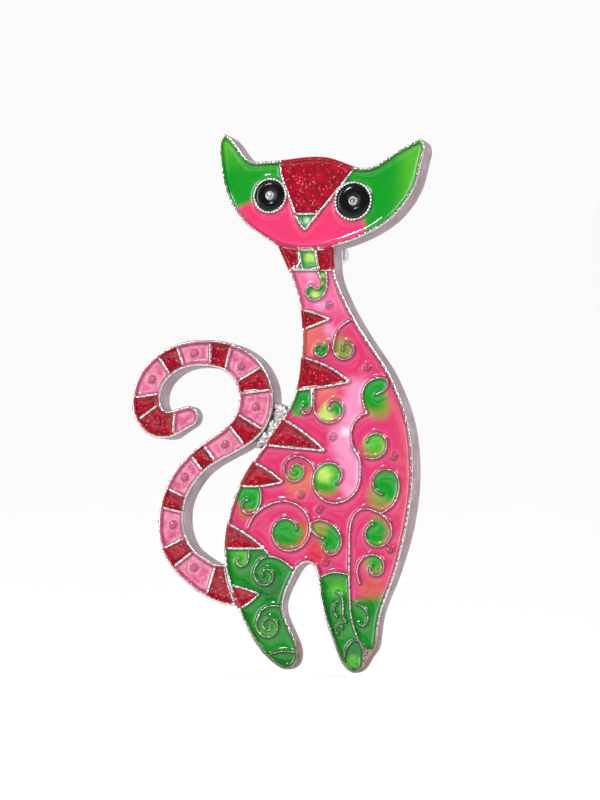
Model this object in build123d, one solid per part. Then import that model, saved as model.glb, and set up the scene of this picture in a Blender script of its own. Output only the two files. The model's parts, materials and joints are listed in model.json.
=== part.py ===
"""Cat-shaped enamel pin: a cast cat and a cast tail with enamel in their cells, and a hinged stem with a
turning safety lock on the back.

Frame: +X is to the viewer's right, +Z is up along the cat, and the enamelled face looks along -Y. The
origin is on the flat back, on the line of the stem. Sizes are in millimetres. A height is measured from
the back towards the face, so height h is at y = -h. A point of the face is written (x, z).
"""

from build123d import *

import os
from math import cos, radians, sin

# Castings
CAST_HEIGHT = 3.0  # back to the top of the raised lines
CELL_DEPTH = 0.8  # raised line to the floor of a cell
ENAMEL_BELOW_LINE = 0.08  # the enamel ends just under the raised lines
RIM = 0.42  # raised line round a whole outline
LINE = 0.36  # raised line between two cells
SCROLL = 0.30  # raised line of a scroll
EYE_RING = 0.3  # raised ring round an eye
TAIL_END = 0.25  # wall that closes the tail's last cell at the haunch
BEAD_R = 0.38
SMALLEST_CELL = 0.12  # mm2; smaller gaps between raised lines are cast solid
FLOOR = CAST_HEIGHT - CELL_DEPTH
ENAMEL_TOP = CAST_HEIGHT - ENAMEL_BELOW_LINE

# Hollows in the back, which leave a border, the neck and a boss for the catch
HOLLOW_DEPTH = 0.7
BOSS_MARGIN = 0.5
HEAD_HOLLOW = [
    (-10.3, 28.3), (-8.6, 26.5), (-5.5, 26.2), (-1.0, 26.5), (3.5, 25.3), (6.4, 24.9), (9.0, 26.2), (11.2, 27.4),
    (10.6, 24.4), (8.2, 21.6), (4.2, 20.1), (-0.7, 19.8), (-5.0, 20.4), (-8.2, 22.4), (-9.9, 25.2),
]
BELLY_HOLLOW = [
    (3.0, 6.4), (5.6, 3.4), (8.0, 0.0), (9.6, -4.5), (9.9, -9.5), (9.0, -14.5), (7.4, -17.6), (3.0, -17.4),
    (-3.0, -17.3), (-8.2, -18.2), (-9.4, -15.2), (-7.9, -10.4), (-4.8, -5.6), (-1.8, -1.4), (-0.4, 2.8), (0.9, 5.8),
]

# The casting gets thinner towards the toes and the tip of the tail: how deep its back is cut away
LEG_TAPER = [(-15.0, 0.0), (-23.0, 1.2), (-32.0, 1.5)]  # z, depth
TIP_TAPER = [(-18.6, 0.0), (-16.2, 1.1), (-14.0, 1.5)]  # x, depth
TAPER_HALF = 20.0  # half the width that the legs' taper is cut over
TIP_SIDES = (-3.9, -0.3)  # the taper of the tip lies between these z

# Fittings on the back. Depths here are measured from the back away from the face.
STEM_DEPTH = 2.0  # back to the stem's centre line
STEM_R = 0.4
HINGE_Z = 17.2
CATCH_Z = -10.5
PLATE = 0.45  # sheet of both fittings
CLEAR = 0.05  # radial clearance of the turning fits

EYE_R = 0.95
EYE_HALF = 1.05
NECK_R = 0.6  # the stem thickens towards its eye
NECK_ENDS = HINGE_Z - 1.7
NECK_INTO_EYE = 0.2
EAR_GAP = 0.1
EAR = 0.5
EAR_R = 1.15
RIVET_R = 0.45
RIVET_HEAD_R = 0.75
RIVET_HEAD = 0.45
HINGE_FOOT = (4.2, 3.4)  # x, z

POINT_STARTS = CATCH_Z + 1.9
POINT_SHARPENS = CATCH_Z - 1.9
POINT_R = 0.35
TIP_Z = CATCH_Z - 3.6
TIP_R = 0.05

CATCH_FOOT = (3.8, 4.0)  # x, z
CHEEK_R = 1.8
CHEEK_GAP = 0.9  # between the two cheeks
CHEEK = 0.7
LOCK_R = 1.2
LOCK_BORE = 0.6
LOCK_LENGTH = 2.7
MOUTH = 1.0  # slot that the stem swings through
TAB_ANGLE = 160.0  # from +X towards +Y, with the lock open
TAB_REACH = 2.8
TAB_WIDTH = 1.0
TAB_CLEAR = 0.1

HEAD_CROWN = [
    (-11.35, 31.35), (-10.3, 30.6), (-9.1, 29.0), (-8.1, 28.05), (-6.6, 27.85), (-4.2, 27.9), (-1.0, 28.1),
    (1.8, 27.8), (4.3, 26.8), (5.7, 26.45), (7.2, 26.75), (9.4, 28.05), (11.2, 28.95), (12.45, 29.5),
]
HEAD_JAW = [
    (12.45, 29.5), (12.95, 28.9), (12.75, 27.0), (12.0, 24.3), (10.6, 22.0), (8.6, 20.1), (6.0, 18.7),
    (3.2, 17.75), (-0.7, 17.3), (-4.9, 18.05), (-6.8, 19.2), (-8.8, 20.75), (-10.4, 22.9), (-11.4, 25.4),
    (-11.85, 28.3), (-11.8, 30.6), (-11.35, 31.35),
]
BODY = [
    (2.1, 18.6), (2.15, 16.2), (2.35, 14.3), (3.2, 12.0), (4.7, 9.1), (6.6, 6.1), (8.5, 3.3), (9.9, 0.4),
    (10.9, -2.5), (11.45, -6.0), (11.5, -9.8), (10.9, -14.2), (10.0, -18.0), (8.7, -21.9), (7.7, -24.6),
    (7.3, -27.3), (7.0, -28.5), (6.4, -29.3), (5.8, -30.3), (4.5, -31.1), (3.4, -30.5), (2.4, -28.7),
    (1.3, -25.8), (0.4, -22.3), (0.05, -19.8), (-0.35, -18.95), (-1.0, -18.65), (-1.8, -18.85), (-2.7, -20.0),
    (-3.6, -21.9), (-4.0, -23.7), (-3.5, -25.4), (-2.6, -27.2), (-2.1, -29.0), (-2.45, -30.2), (-3.6, -30.75),
    (-5.0, -30.2), (-6.6, -28.8), (-8.3, -26.3), (-9.6, -23.7), (-10.7, -20.9), (-11.2, -17.6), (-11.0, -14.6),
    (-10.1, -11.3), (-8.6, -8.2), (-6.8, -5.7), (-5.0, -3.4), (-3.6, -1.3), (-2.5, 1.1), (-1.95, 4.0),
    (-1.75, 7.2), (-1.85, 9.7), (-2.4, 12.3), (-3.4, 15.0), (-4.3, 17.0), (-4.9, 18.4),
]

ROUTE_STEPS = 200  # places along the tail that its cells are ordered by

# The tail's centre line from the haunch to the curled tip: x, z and half of its width there
TAIL = [
    (-10.4, -21.1, 2.4), (-11.8, -20.9, 2.2), (-13.2, -20.4, 1.95), (-14.8, -19.4, 1.85), (-16.3, -18.1, 1.75),
    (-17.4, -16.3, 1.7), (-17.8, -14.3, 1.6), (-17.7, -12.3, 1.5), (-17.1, -10.3, 1.45), (-16.0, -8.5, 1.45),
    (-14.6, -7.0, 1.4), (-12.9, -5.8, 1.45), (-11.1, -4.8, 1.55), (-9.5, -3.8, 1.75), (-8.1, -2.4, 2.0),
    (-7.4, -0.7, 2.1), (-7.4, 1.1, 2.1), (-8.1, 3.0, 1.95), (-9.5, 4.5, 1.75), (-11.3, 5.4, 1.6),
    (-13.3, 5.75, 1.55), (-15.3, 5.75, 1.5), (-17.3, 5.25, 1.5), (-19.0, 4.25, 1.55), (-20.3, 2.8, 1.65),
    (-20.9, 1.1, 1.75), (-20.8, -0.7, 1.8), (-19.9, -2.0, 1.75), (-18.4, -2.45, 1.6), (-16.9, -2.05, 1.4),
    (-15.7, -1.6, 1.25),
]
# Raised lines across the tail, each from its inner to its outer side, in order from the haunch
TAIL_LINES = [
    ((-12.2, -18.6), (-13.4, -22.4)), ((-14.9, -17.1), (-17.6, -19.1)), ((-15.8, -15.5), (-19.0, -17.0)),
    ((-16.1, -12.8), (-19.2, -12.0)), ((-15.9, -11.0), (-18.5, -9.8)), ((-13.8, -8.1), (-15.2, -6.3)),
    ((-12.2, -7.0), (-13.7, -5.1)), ((-8.6, -5.2), (-10.6, -2.8)), ((-6.5, -3.3), (-9.8, -1.3)),
    ((-5.5, 1.3), (-9.6, 0.9)), ((-6.8, 3.9), (-9.7, 2.3)), ((-10.4, 6.6), (-11.1, 3.9)),
    ((-13.0, 7.2), (-12.95, 4.2)), ((-17.2, 6.7), (-16.3, 4.3)), ((-19.5, 5.6), (-18.0, 3.4)),
    ((-22.5, 0.8), (-19.1, 1.2)), ((-22.1, -1.9), (-19.3, 0.0)), ((-17.6, -3.8), (-17.4, -1.0)),
]

EYES = {"left": ((-5.65, 23.8), 1.8), "right": ((4.45, 22.7), 2.0)}  # centre and radius of the enamel
PUPIL_R = 0.5
BROW = [(-4.25, 28.6), (-4.3, 26.6), (-3.95, 25.2), (-3.1, 23.0), (-2.35, 21.0), (-1.35, 19.65)]
BROW_RIGHT = [(-1.35, 19.65), (-0.1, 21.1), (1.6, 23.0), (3.3, 24.9), (5.2, 27.3)]
NOSE_LINE = [(-2.7, 21.55), (0.3, 21.4)]

COLLAR = {
    "collar_enamel_left": [(-4.9, 17.8), (-2.35, 17.3), (-2.15, 15.95), (-2.5, 15.4), (-4.6, 15.4)],
    "collar_enamel_middle": [(-1.95, 17.15), (-0.3, 17.1), (0.0, 15.3), (-1.6, 15.2)],
    "collar_enamel_right": [(0.1, 17.15), (2.6, 17.15), (2.6, 15.0), (0.5, 14.95), (0.3, 15.8)],
}
COLLAR_HIDES = [(-6.0, 15.05), (4.0, 14.6), (4.0, 18.5), (-6.0, 18.5)]

# Red flame stripes on the cat's back: upper end at the rim, tip, lower end at the rim, and how far the
# upper and the lower edge swell upwards
STRIPES = {
    "neck": ((-2.2, 10.45), (1.55, 9.2), (-2.2, 7.9), 0.2, 0.0),
    "shoulder": ((-2.6, 5.1), (3.95, 1.95), (-3.0, 1.1), 0.6, -0.1),
    "back": ((-4.9, -1.7), (0.95, -5.85), (-6.6, -5.05), 0.35, 0.0),
    "flank": ((-8.6, -6.7), (-4.15, -9.35), (-9.8, -9.65), 0.35, -0.3),
    "haunch": ((-11.9, -13.6), (-6.35, -16.95), (-11.9, -16.9), 0.35, 0.0),
    "shin": ((-11.3, -21.0), (-6.95, -22.15), (-9.9, -24.1), 0.15, -0.25),
}

# Scrolls: a lead of points, then a spiral round a centre from one radius to another, starting at an angle
# and turning through another; the last number bends how fast the radius shrinks
SCROLLS = [
    ([(4.9, 9.2), (3.5, 8.7), (2.6, 7.9)], (3.55, 5.75), 1.55, 0.35, 160, 400, 1.0),
    ([], (0.45, 5.8), 1.15, 0.25, 40, -400, 1.0),
    ([(-0.3, 1.3), (-0.3, 0.2)], (1.95, -1.0), 2.25, 0.35, 180, 400, 0.8),
    ([], (7.0, -5.15), 1.9, 0.95, 235, 290, 0.8),
    ([(6.1, -1.7), (5.2, -2.1), (4.4, -3.1), (4.2, -4.4), (4.55, -5.8), (5.2, -6.9)], (1.9, -9.0), 3.5, 0.8,
     15, -425, 1.0),
    ([(-0.2, -8.1), (-0.8, -7.1)], (-2.5, -8.1), 1.65, 0.25, 95, 540, 1.0),
    ([(-8.3, -14.6)], (-3.5, -15.0), 4.3, 1.1, 150, -500, 0.6),
    ([(7.5, -13.0)], (7.1, -15.3), 2.05, 1.0, 55, -310, 1.0),
    ([], (6.9, -19.3), 2.4, 0.35, 225, -450, 0.7),
    ([(-2.3, -19.9), (-3.6, -18.65), (-4.9, -18.0)], (-6.1, -20.0), 1.95, 0.4, 105, 460, 0.6),
    ([], (-5.8, -25.8), 1.6, 0.35, 130, 560, 1.0),
]
# Other raised lines, each through its points
LINES = [
    [(1.0, 15.1), (1.3, 13.6), (1.1, 12.4), (0.5, 11.65), (-0.3, 11.45),
     (-1.05, 11.85), (-1.2, 12.6), (-0.35, 13.1)],
    [(0.0, 15.1), (0.4, 14.3), (0.65, 13.6), (0.5, 12.95), (0.1, 12.7), (-0.35, 13.1)],
    [(-0.6, 1.3), (-0.6, -0.7), (-1.0, -1.5), (-1.6, -1.5), (-1.85, -1.0), (-1.5, -0.6)],
    [(7.1, 0.4), (7.8, 0.7), (8.5, 1.3), (8.4, 2.05), (7.3, 2.25), (6.2, 1.8), (5.6, 0.8), (5.6, -0.4), (6.1, -1.7)],
    [(-6.95, -9.8), (-6.7, -10.9), (-6.85, -12.0), (-7.5, -12.8), (-8.4, -12.95), (-9.0, -12.4), (-8.9, -11.6),
     (-8.3, -11.4)],
    [(-0.6, -14.1), (0.4, -13.75), (1.6, -14.1), (2.6, -15.0), (3.0, -16.2), (2.6, -17.3), (1.7, -17.75),
     (1.0, -17.3), (1.1, -16.6)],
    [(-0.65, -14.2), (-0.45, -15.1), (0.2, -15.6), (0.9, -15.8)],
    [(7.9, -10.9), (7.0, -10.4), (6.85, -9.2), (7.8, -8.2), (9.2, -8.4), (9.85, -9.7), (9.7, -11.1), (8.9, -12.4),
     (7.5, -13.0), (6.4, -12.6), (5.4, -12.6), (4.5, -13.3), (4.05, -14.6), (3.95, -17.0), (3.9, -20.0),
     (4.0, -23.0), (4.2, -25.0), (4.75, -26.8), (5.3, -27.8), (6.3, -28.3), (7.6, -28.35)],
    [(-0.3, -21.3), (0.7, -20.2), (1.7, -19.8), (3.0, -19.8), (4.0, -20.1)],
    [(5.3, -27.8), (4.7, -27.4), (3.9, -27.9), (3.4, -28.9), (3.3, -30.3), (3.4, -31.2)],
    [(5.3, -27.8), (5.5, -28.9), (5.45, -30.0), (5.3, -31.2)],
    [(4.9, -23.4), (5.8, -23.9), (6.15, -24.9), (5.8, -25.7), (5.1, -25.6)],
    [(2.3, -21.9), (2.95, -22.4), (3.2, -23.4), (3.2, -24.6), (3.5, -25.4)],
    [(2.3, -23.4), (2.1, -24.2), (2.5, -24.8)],
    [(3.1, -26.1), (2.6, -25.8), (2.3, -26.2), (2.6, -26.7)],
    [(-6.35, -16.95), (-5.8, -17.6), (-4.9, -18.0)],
    [(-8.3, -17.0), (-8.2, -18.0), (-8.6, -18.8), (-9.25, -18.95), (-9.7, -18.5), (-9.3, -18.1)],
    [(-7.0, -24.6), (-6.3, -23.8), (-5.2, -23.5), (-3.6, -24.0)],
    [(-6.6, -29.9), (-5.4, -29.0), (-3.7, -28.7), (-1.7, -28.95)],
]
# Round posts as high as the raised lines
BEADS = [
    (1.5, 10.85), (6.1, 3.5), (2.0, -4.3), (9.2, -6.7), (-1.9, -10.9), (0.3, -12.6), (8.75, -17.2), (1.1, -18.6),
]
TAIL_BEADS = [
    (-15.0, -19.1), (-17.6, -14.1), (-16.2, -8.6), (-11.2, -4.9), (-7.4, -0.6), (-9.2, 4.1), (-15.0, 5.8),
    (-20.3, 2.9), (-19.6, -2.1),
]

# A point in each cell of the body's coat
BODY_CELLS = {
    "throat_enamel": (0.6, 12.2),
    "coat_enamel": (2.6, -7.0),
    "hind_leg_enamel": (-6.5, -22.3),
    "hind_toe_enamel": (-4.0, -29.6),
    "front_leg_enamel": (1.6, -21.2),
    "front_toe_enamel": (4.4, -29.2),
    "stripe_enamel_neck": (-0.6, 9.3),
    "stripe_enamel_shoulder": (0.0, 3.0),
    "stripe_enamel_back": (-3.0, -4.0),
    "stripe_enamel_flank": (-7.0, -8.7),
    "stripe_enamel_haunch": (-9.5, -15.5),
    "stripe_enamel_shin": (-9.2, -22.3),
}

# Solder where the tail's loop touches the back
BRIDGE = [(-4.2, -0.6), (-5.3, -0.2), (-6.3, -2.6), (-7.2, -4.6), (-7.4, -5.4), (-5.8, -5.0), (-3.4, -1.4)]
BRIDGE_HEIGHT = 2.5


def height(low, high, face):
    """The solid over a face of (x, z) points, from one height to another."""
    return extrude(Plane.XZ.offset(low) * face, amount=high - low)


def smooth(*runs):
    """The face inside smooth runs of points that follow each other; a run of two points is straight."""
    edges = [Spline(*run) if len(run) > 2 else Line(*run) for run in runs]
    return make_face(edges)


def spiral(centre, start_r, end_r, start, turn, ease):
    """Points on a flat spiral, one every 30 degrees or so."""
    steps = max(4, round(abs(turn) / 30))
    points = []
    for i in range(steps + 1):
        share = i / steps
        r = start_r + (end_r - start_r) * share**ease
        angle = radians(start + turn * share)
        points.append((centre[0] + r * cos(angle), centre[1] + r * sin(angle)))
    return points


def ribbon(points, halves, step=0.45):
    """A flat band along a smooth line, with round ends. halves is half its width, or one value per point."""
    line = Spline(*points) if len(points) > 2 else Line(*points)
    count = max(3, round(line.length / step))
    if not isinstance(halves, (list, tuple)):
        halves = [halves] * len(points)
    marks = [line.param_at_point(p) if 0 < i < len(points) - 1 else float(i > 0) for i, p in enumerate(points)]
    left, right = [], []
    for i in range(count + 1):
        at = i / count
        at_mark = next(k for k in range(1, len(marks)) if at <= marks[k] or k == len(marks) - 1)
        share = (at - marks[at_mark - 1]) / (marks[at_mark] - marks[at_mark - 1])
        half = halves[at_mark - 1] + (halves[at_mark] - halves[at_mark - 1]) * share
        here, along = line @ at, line % at
        across = Vector(-along.Y, along.X) * half
        left.append(here + across)
        right.append(here - across)
    start, end = line @ 0 - (line % 0) * halves[0], line @ 1 + (line % 1) * halves[-1]
    edges = [
        Spline(*left), ThreePointArc(left[-1], end, right[-1]),
        Spline(*reversed(right)), ThreePointArc(right[0], start, left[0]),
    ]
    return make_face(edges)


def spiral_line(lead, centre, start_r, end_r, start, turn, ease):
    """A scroll: the lead, then the spiral."""
    return ribbon(lead + spiral(centre, start_r, end_r, start, turn, ease), SCROLL / 2)


def stripe_edges(upper, tip, lower, upper_swell, lower_swell):
    """The two raised lines along a flame stripe, from the rim to its tip."""
    for end, swell in ((upper, upper_swell), (lower, lower_swell)):
        middle = ((end[0] + tip[0]) / 2, (end[1] + tip[1]) / 2 + swell)
        yield ribbon([end, middle, tip], LINE / 2)


def disc(centre, r):
    return Pos(*centre) * Circle(r)


def box(x, y, z):
    """A box between two values along each axis."""
    return Pos(sum(x) / 2, sum(y) / 2, sum(z) / 2) * Box(x[1] - x[0], y[1] - y[0], z[1] - z[0])


def bar(axis, r, low, high, centre):
    """A round bar along X or Z; centre holds its other two coordinates."""
    middle, length = (low + high) / 2, high - low
    if axis == "X":
        return Pos(middle, *centre) * Rot(0, 90, 0) * Cylinder(r, length)
    return Pos(*centre, middle) * Cylinder(r, length)


def pieces(region):
    """The cells of a region: its faces that are big enough to hold enamel."""
    return [face for face in region.faces() if face.area > SMALLEST_CELL]


def holding(cells, point):
    """The cell that a point is in."""
    return min(cells, key=lambda cell: cell.distance_to(Vector(*point)))


# The two castings and the solder between them, as flat faces
head = smooth(HEAD_CROWN, HEAD_JAW)
body = smooth(BODY, [BODY[-1], BODY[0]])
tail_route = [point[:2] for point in TAIL]
tail_halves = [point[2] for point in TAIL]
tail = ribbon(tail_route, tail_halves) - body
bridge = make_face(Polyline(*BRIDGE, close=True)) - body - tail


def head_cells():
    inner = head - ribbon(HEAD_CROWN, RIM) - ribbon(HEAD_JAW, RIM)
    for line in (BROW, BROW_RIGHT, NOSE_LINE):
        inner -= ribbon(line, LINE / 2)
    for centre, r in EYES.values():
        inner -= disc(centre, r + EYE_RING)
    face, forehead, nose = sorted(pieces(inner), key=lambda cell: -cell.area)
    cells = {"face_enamel": face, "forehead_enamel": forehead, "nose_enamel": nose}
    for side, (centre, r) in EYES.items():
        cells[f"eye_enamel_{side}"] = disc(centre, r) - disc(centre, PUPIL_R)
    return cells


def body_cells():
    inner = body - ribbon(BODY, RIM) - head
    coat = inner - make_face(Polyline(*COLLAR_HIDES, close=True))
    lines = [spiral_line(*scroll) for scroll in SCROLLS]
    lines += [ribbon(line, SCROLL / 2) for line in LINES]
    lines += [disc(bead, BEAD_R) for bead in BEADS]
    for stripe in STRIPES.values():
        lines += stripe_edges(*stripe)
    for line in lines:
        coat -= line
    found = pieces(coat)
    cells = {name: holding(found, point) for name, point in BODY_CELLS.items()}
    for name, outline in COLLAR.items():
        cells[name] = (inner & make_face(Polyline(*outline, close=True))).face()
    return cells


def tail_cells():
    inner = ribbon(tail_route, [half - RIM for half in tail_halves]) - body - ribbon(BODY, TAIL_END)
    for line in TAIL_LINES:
        inner -= ribbon(line, LINE / 2)
    for bead in TAIL_BEADS:
        inner -= disc(bead, BEAD_R)
    route = Spline(*tail_route)
    steps = [route @ (i / ROUTE_STEPS) for i in range(ROUTE_STEPS + 1)]

    def along(cell):
        return min(range(len(steps)), key=lambda i: (steps[i] - cell.center()).length)

    return {f"tail_enamel_{i:02d}": cell for i, cell in enumerate(sorted(pieces(inner), key=along), 1)}


def casting(outline, cells, hollows, taper):
    """A casting: its outline, less the cells in its face, the hollows in its back and the taper."""
    solid = height(0, CAST_HEIGHT, outline)
    solid -= [height(FLOOR, CAST_HEIGHT, cell) for cell in cells.values()]
    for hollow in hollows:
        solid -= height(0, HOLLOW_DEPTH, hollow)
    return solid - taper


def leg_taper():
    """What is cut off behind the legs, over the whole width."""
    side = [(-depth, z) for z, depth in LEG_TAPER] + [(1.0, LEG_TAPER[-1][0])]
    wedge = extrude(Plane.YZ * make_face(Polyline(*side, close=True)), amount=2 * TAPER_HALF)
    return Pos(-TAPER_HALF, 0, 0) * wedge


def tip_taper():
    """What is cut off behind the tip of the tail."""
    low, high = TIP_SIDES
    side = [(x, -depth) for x, depth in TIP_TAPER] + [(TIP_TAPER[-1][0], 1.0)]
    return Pos(0, 0, low) * extrude(Plane.XY * make_face(Polyline(*side, close=True)), amount=high - low)


def hinge_bracket():
    half_foot = HINGE_FOOT[0] / 2
    solid = box((-half_foot, half_foot), (0, PLATE), (HINGE_Z - HINGE_FOOT[1] / 2, HINGE_Z + HINGE_FOOT[1] / 2))
    inside = EYE_HALF + EAR_GAP
    for low, high in ((-inside - EAR, -inside), (inside, inside + EAR)):
        solid += box((low, high), (0, STEM_DEPTH), (HINGE_Z - EAR_R, HINGE_Z + EAR_R))
        solid += bar("X", EAR_R, low, high, (STEM_DEPTH, HINGE_Z))
    return solid - bar("X", RIVET_R, -half_foot, half_foot, (STEM_DEPTH, HINGE_Z))


def hinge_rivet():
    outside = EYE_HALF + EAR_GAP + EAR
    solid = bar("X", RIVET_R, -outside, outside, (STEM_DEPTH, HINGE_Z))
    for low, high in ((-outside - RIVET_HEAD, -outside), (outside, outside + RIVET_HEAD)):
        solid += bar("X", RIVET_HEAD_R, low, high, (STEM_DEPTH, HINGE_Z))
    return solid


def stem():
    """The eye round the rivet, the wire and its sharpened point."""
    line = (0, STEM_DEPTH)
    solid = bar("X", EYE_R, -EYE_HALF, EYE_HALF, (STEM_DEPTH, HINGE_Z))
    solid += bar("Z", STEM_R, POINT_STARTS, HINGE_Z, line)
    for top, bottom, r, end_r in (
        (HINGE_Z - EYE_R + NECK_INTO_EYE, NECK_ENDS, NECK_R, STEM_R),
        (POINT_STARTS, POINT_SHARPENS, STEM_R, POINT_R),
        (POINT_SHARPENS, TIP_Z, POINT_R, TIP_R),
    ):
        solid += Pos(*line, (top + bottom) / 2) * Cone(end_r, r, top - bottom)
    return solid - bar("X", RIVET_R + CLEAR, -EYE_HALF, EYE_HALF, (STEM_DEPTH, HINGE_Z))


def catch_base():
    """A foot with two C-shaped cheeks that carry the lock."""
    half_x, half_z = CATCH_FOOT[0] / 2, CATCH_FOOT[1] / 2
    solid = box((-half_x, half_x), (0, PLATE), (CATCH_Z - half_z, CATCH_Z + half_z))
    line = (0, STEM_DEPTH)
    inside = CHEEK_GAP / 2
    for low, high in ((-inside - CHEEK, -inside), (inside, inside + CHEEK)):
        solid += bar("Z", CHEEK_R, CATCH_Z + low, CATCH_Z + high, line)
        solid += box((-LOCK_R, LOCK_R), (0, STEM_DEPTH), (CATCH_Z + low, CATCH_Z + high))
    solid -= bar("Z", LOCK_R + CLEAR, CATCH_Z - half_z, CATCH_Z + half_z, line)
    mouth = (STEM_DEPTH, STEM_DEPTH + 2 * CHEEK_R)
    return solid - box((-MOUTH / 2, MOUTH / 2), mouth, (CATCH_Z - half_z, CATCH_Z + half_z))


def catch_lock():
    """A slotted tube with a thumb tab, open: its slot is in line with the slots of the cheeks."""
    low, high = CATCH_Z - LOCK_LENGTH / 2, CATCH_Z + LOCK_LENGTH / 2
    line = (0, STEM_DEPTH)
    tab_half = CHEEK_GAP / 2 - TAB_CLEAR
    tab = Box(TAB_REACH - LOCK_BORE, TAB_WIDTH, 2 * tab_half, align=(Align.MIN, Align.CENTER, Align.CENTER))
    tab = Pos(LOCK_BORE, 0, 0) * tab + Pos(TAB_REACH, 0, 0) * Cylinder(TAB_WIDTH / 2, 2 * tab_half)
    solid = bar("Z", LOCK_R, low, high, line) + Pos(*line, CATCH_Z) * Rot(0, 0, TAB_ANGLE) * tab
    solid -= bar("Z", LOCK_BORE, low, high, line)
    return solid - box((-MOUTH / 2, MOUTH / 2), (STEM_DEPTH, STEM_DEPTH + 2 * LOCK_R), (low, high))


in_head, in_body, in_tail = head_cells(), body_cells(), tail_cells()
head_hollow = make_face(Spline(*HEAD_HOLLOW, periodic=True))
catch_boss = Pos(0, CATCH_Z) * Rectangle(CATCH_FOOT[0] + 2 * BOSS_MARGIN, CATCH_FOOT[1] + 2 * BOSS_MARGIN)
belly_hollow = make_face(Spline(*BELLY_HOLLOW, periodic=True)) - catch_boss

parts = {
    "cat_casting": casting(head + body, {**in_head, **in_body}, [head_hollow, belly_hollow], leg_taper()),
    "tail_casting": casting(tail, in_tail, [], tip_taper()),
    "tail_solder": height(0, BRIDGE_HEIGHT, bridge),
    "hinge_bracket": hinge_bracket(),
    "hinge_rivet": hinge_rivet(),
    "stem": stem(),
    "catch_base": catch_base(),
    "catch_lock": catch_lock(),
}
for name, cell in {**in_head, **in_body, **in_tail}.items():
    parts[name] = height(FLOOR, ENAMEL_TOP, cell)

os.makedirs("parts", exist_ok=True)
for name, part in parts.items():
    export_step(part, f"parts/{name}.step")
    print(name, round(part.volume, 2), len(part.solids()), part.is_valid)
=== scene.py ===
import heapq
import json
import math

import bmesh
import bpy
import numpy as np
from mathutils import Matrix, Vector, geometry, kdtree

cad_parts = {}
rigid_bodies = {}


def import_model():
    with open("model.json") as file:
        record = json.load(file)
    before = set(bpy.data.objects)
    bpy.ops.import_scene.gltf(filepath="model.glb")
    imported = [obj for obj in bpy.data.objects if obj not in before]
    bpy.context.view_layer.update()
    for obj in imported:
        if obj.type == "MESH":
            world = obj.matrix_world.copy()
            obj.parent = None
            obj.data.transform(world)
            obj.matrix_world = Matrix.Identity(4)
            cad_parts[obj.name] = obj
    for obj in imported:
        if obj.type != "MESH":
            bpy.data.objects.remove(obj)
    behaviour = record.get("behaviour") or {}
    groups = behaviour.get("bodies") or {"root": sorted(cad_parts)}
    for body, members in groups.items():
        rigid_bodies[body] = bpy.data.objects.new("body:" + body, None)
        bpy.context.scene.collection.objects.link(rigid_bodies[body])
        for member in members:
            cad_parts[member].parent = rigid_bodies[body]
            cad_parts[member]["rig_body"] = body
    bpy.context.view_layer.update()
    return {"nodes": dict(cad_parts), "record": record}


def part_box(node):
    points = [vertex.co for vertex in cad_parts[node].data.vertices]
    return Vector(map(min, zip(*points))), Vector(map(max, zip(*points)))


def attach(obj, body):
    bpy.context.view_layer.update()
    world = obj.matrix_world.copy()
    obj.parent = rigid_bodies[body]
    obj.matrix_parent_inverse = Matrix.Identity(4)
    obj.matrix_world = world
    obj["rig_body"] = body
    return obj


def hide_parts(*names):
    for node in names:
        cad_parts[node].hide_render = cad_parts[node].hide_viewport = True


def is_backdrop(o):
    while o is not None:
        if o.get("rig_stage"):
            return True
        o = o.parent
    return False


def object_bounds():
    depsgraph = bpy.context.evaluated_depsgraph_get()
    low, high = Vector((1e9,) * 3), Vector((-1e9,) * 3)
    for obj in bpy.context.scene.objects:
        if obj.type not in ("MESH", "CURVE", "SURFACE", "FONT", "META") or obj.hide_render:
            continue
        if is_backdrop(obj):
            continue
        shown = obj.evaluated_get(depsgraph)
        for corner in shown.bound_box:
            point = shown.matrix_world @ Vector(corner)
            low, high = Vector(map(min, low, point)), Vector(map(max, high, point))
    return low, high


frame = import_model()
nodes = frame["nodes"]
slots = {part["node"]: part["material_slot"] for part in frame["record"]["subparts"]}
MM = 0.001

# %% [markdown]
# ## Heights over the back
# The face looks along -Y, so a height above the flat back is a negative y. The frame gives two of them: the
# top of the raised lines and the top of the flat enamel. The others say how the real surfaces leave those
# flats. A raised line starts a little under its top and rounds over. Liquid enamel wets the line, so it
# stands highest there and dips within half a millimetre.
# %% Heights
LINE_FLAT = -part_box("cat_casting")[0].y / MM
ENAMEL_FLAT = -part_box("coat_enamel")[0].y / MM
LINE_TOP = LINE_FLAT + 0.03
LINE_FOOT = LINE_FLAT - 0.17
ENAMEL_FOOT = LINE_FLAT - 0.18
ENAMEL_DIP = 0.2
DIP_WIDTH = 0.32
LINE_HALF = 0.17
print("line", LINE_FOOT, "to", LINE_TOP, "enamel", ENAMEL_FOOT - ENAMEL_DIP, "to", ENAMEL_FOOT)


# %% [markdown]
# ## Working copies
# A node of the frame is never edited. Its mesh is copied into a new object, whose loose triangles are
# merged with an operator, and the copy is shaped and shown in the node's place.
# %% Copies and selections
def deselect():
    bpy.ops.object.select_all(action="DESELECT")


def activate(obj):
    """Makes obj the one that operators act on."""
    deselect()
    obj.select_set(True)
    bpy.context.view_layer.objects.active = obj


def copy_node(node, name):
    """A merged copy of a node's mesh, as an object of its own."""
    obj = bpy.data.objects.new(name, nodes[node].data.copy())
    obj.data.materials.clear()
    bpy.context.scene.collection.objects.link(obj)
    activate(obj)
    bpy.ops.object.mode_set(mode="EDIT")
    bpy.ops.mesh.select_all(action="SELECT")
    bpy.ops.mesh.remove_doubles(threshold=0.0002 * MM)
    bpy.ops.object.mode_set(mode="OBJECT")
    return obj


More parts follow.
